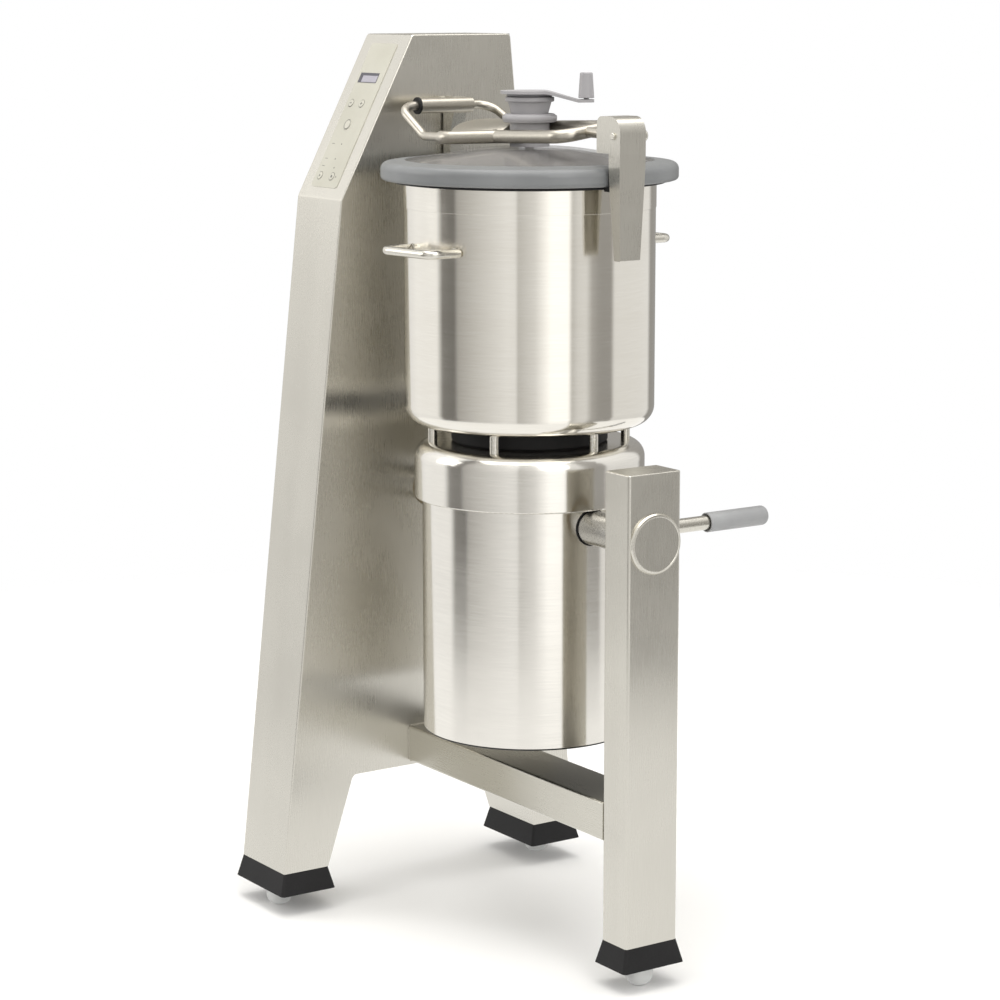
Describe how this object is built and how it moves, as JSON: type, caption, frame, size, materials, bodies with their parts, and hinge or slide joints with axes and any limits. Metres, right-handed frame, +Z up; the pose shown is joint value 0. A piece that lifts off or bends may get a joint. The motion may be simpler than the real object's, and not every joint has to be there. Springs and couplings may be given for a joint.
{
  "type": "vertical cutter mixer",
  "caption": "Floor-standing vertical cutter mixer: tall control column, tilting motor and bowl between column and post, hinged lid with clamp, crank wiper and knife.",
  "frame": {"origin": "on the floor, in the middle of the outline of the three feet", "axes": "+Z up, +X from the control column to the pivot post, +Y from the front to the back"},
  "size_m": [0.754, 0.588, 1.4],
  "materials": {
    "stainless_sheet": "satin brushed",
    "stainless_shell": "fine brushed",
    "stainless_bowl": "fine brushed",
    "turned_steel": "bright turned",
    "blade_steel": "ground",
    "bronze": "turned",
    "motor_iron": "lacquered",
    "cast_aluminium": "cast",
    "grey_plastic": "moulded satin",
    "key_plastic": "moulded satin",
    "panel_film": "satin film",
    "black_plastic": "moulded",
    "foot_plastic": "moulded satin",
    "black_rubber": "matt",
    "display_glass": "gloss",
    "clear_dome": "gloss"
  },
  "bodies": {
    "stand": {"column_inner_plate": "stainless_sheet", "column_outer_plate": "stainless_sheet", "column_wrap": "stainless_sheet", "column_rear_cover": "stainless_sheet", "column_arch_liner": "stainless_sheet", "control_overlay": "panel_film", "display_window": "display_glass", "supply_gland": "black_plastic", "drive_unit": "cast_aluminium", "crossbeam": "stainless_sheet", "post_shell": "stainless_sheet", "post_cap": "stainless_sheet", "post_disc": "stainless_sheet", "leg_shoes": "black_rubber", "post_shoe": "black_rubber", "domed_feet": "foot_plastic", "pivot_bushes": "bronze", "index_stub": "turned_steel"},
    "cradle": {"column_trunnion": "turned_steel", "post_trunnion": "turned_steel", "lever_rod": "turned_steel", "motor_housing": "stainless_shell", "housing_collar": "stainless_shell", "housing_bottom": "stainless_shell", "motor_stator": "motor_iron", "motor_shields": "cast_aluminium", "shaft_bearings": "turned_steel", "drive_neck": "black_plastic", "bowl_studs": "turned_steel", "bowl": "stainless_bowl", "bowl_rim_band": "stainless_bowl", "bowl_handles": "turned_steel", "hinge_sleeve": "turned_steel", "hinge_upright": "stainless_sheet"},
    "grip": {"lever_grip": "grey_plastic", "lock_pin": "turned_steel"},
    "drive": {"motor_rotor": "motor_iron", "motor_shaft": "turned_steel", "knife_hub": "grey_plastic", "knife_nut": "grey_plastic", "knife_blades": "blade_steel"},
    "lid": {"lid_seal": "black_rubber", "lid_rim": "grey_plastic", "lid_dome": "clear_dome", "lid_hub": "grey_plastic", "lid_yoke": "turned_steel", "lid_arm": "turned_steel", "clamp_pin": "turned_steel"},
    "wiper": {"wiper_shaft": "turned_steel", "wiper_blade": "grey_plastic", "crank_arm": "grey_plastic"},
    "knob": {"crank_knob": "grey_plastic"},
    "clamp": {"clamp_lever": "stainless_sheet", "clamp_pad": "black_rubber"},
    "minus_button": {"minus_key": "key_plastic"},
    "plus_button": {"plus_key": "key_plastic"},
    "set_button": {"set_key": "key_plastic"},
    "start_button": {"start_key": "key_plastic"},
    "stop_button": {"stop_key": "key_plastic"}
  },
  "joints": [
    {"name": "bowl_tilt", "type": "hinge", "parent": "stand", "child": "cradle", "pos_m": [0.048, 0, 0.678], "axis": [1, 0, 0], "range_deg": [0, 95]},
    {"name": "grip_pull", "type": "slide", "parent": "cradle", "child": "grip", "axis": [0, 1, 0], "range_m": [0, 0.012], "stiffness_N_per_m": 1500, "springref_m": -0.01},
    {"name": "knife_spin", "type": "hinge", "parent": "cradle", "child": "drive", "pos_m": [0.048, 0, 0.9], "axis": [0, 0, 1], "continuous": true},
    {"name": "lid_open", "type": "hinge", "parent": "cradle", "child": "lid", "pos_m": [-0.186, 0, 1.291], "axis": [0, -1, 0], "range_deg": [0, 110]},
    {"name": "wiper_turn", "type": "hinge", "parent": "lid", "child": "wiper", "pos_m": [0.048, 0, 1.25], "axis": [0, 0, 1], "continuous": true},
    {"name": "knob_turn", "type": "hinge", "parent": "wiper", "child": "knob", "pos_m": [0.09675, 0.06963, 1.33], "axis": [0, 0, 1], "continuous": true},
    {"name": "clamp_swing", "type": "hinge", "parent": "lid", "child": "clamp", "pos_m": [0.292, 0, 1.262], "axis": [0, -1, 0], "range_deg": [0, 20]},
    {"name": "minus_press", "type": "slide", "parent": "stand", "child": "minus_button", "axis": [0, 0.8859, -0.4639], "range_m": [0, 0.001], "stiffness_N_per_m": 600, "springref_m": -0.0005},
    {"name": "plus_press", "type": "slide", "parent": "stand", "child": "plus_button", "axis": [0, 0.8859, -0.4639], "range_m": [0, 0.001], "stiffness_N_per_m": 600, "springref_m": -0.0005},
    {"name": "set_press", "type": "slide", "parent": "stand", "child": "set_button", "axis": [0, 0.8859, -0.4639], "range_m": [0, 0.001], "stiffness_N_per_m": 600, "springref_m": -0.0005},
    {"name": "start_press", "type": "slide", "parent": "stand", "child": "start_button", "axis": [0, 0.8859, -0.4639], "range_m": [0, 0.001], "stiffness_N_per_m": 600, "springref_m": -0.0005},
    {"name": "stop_press", "type": "slide", "parent": "stand", "child": "stop_button", "axis": [0, 0.8859, -0.4639], "range_m": [0, 0.001], "stiffness_N_per_m": 600, "springref_m": -0.0005}
  ]
}
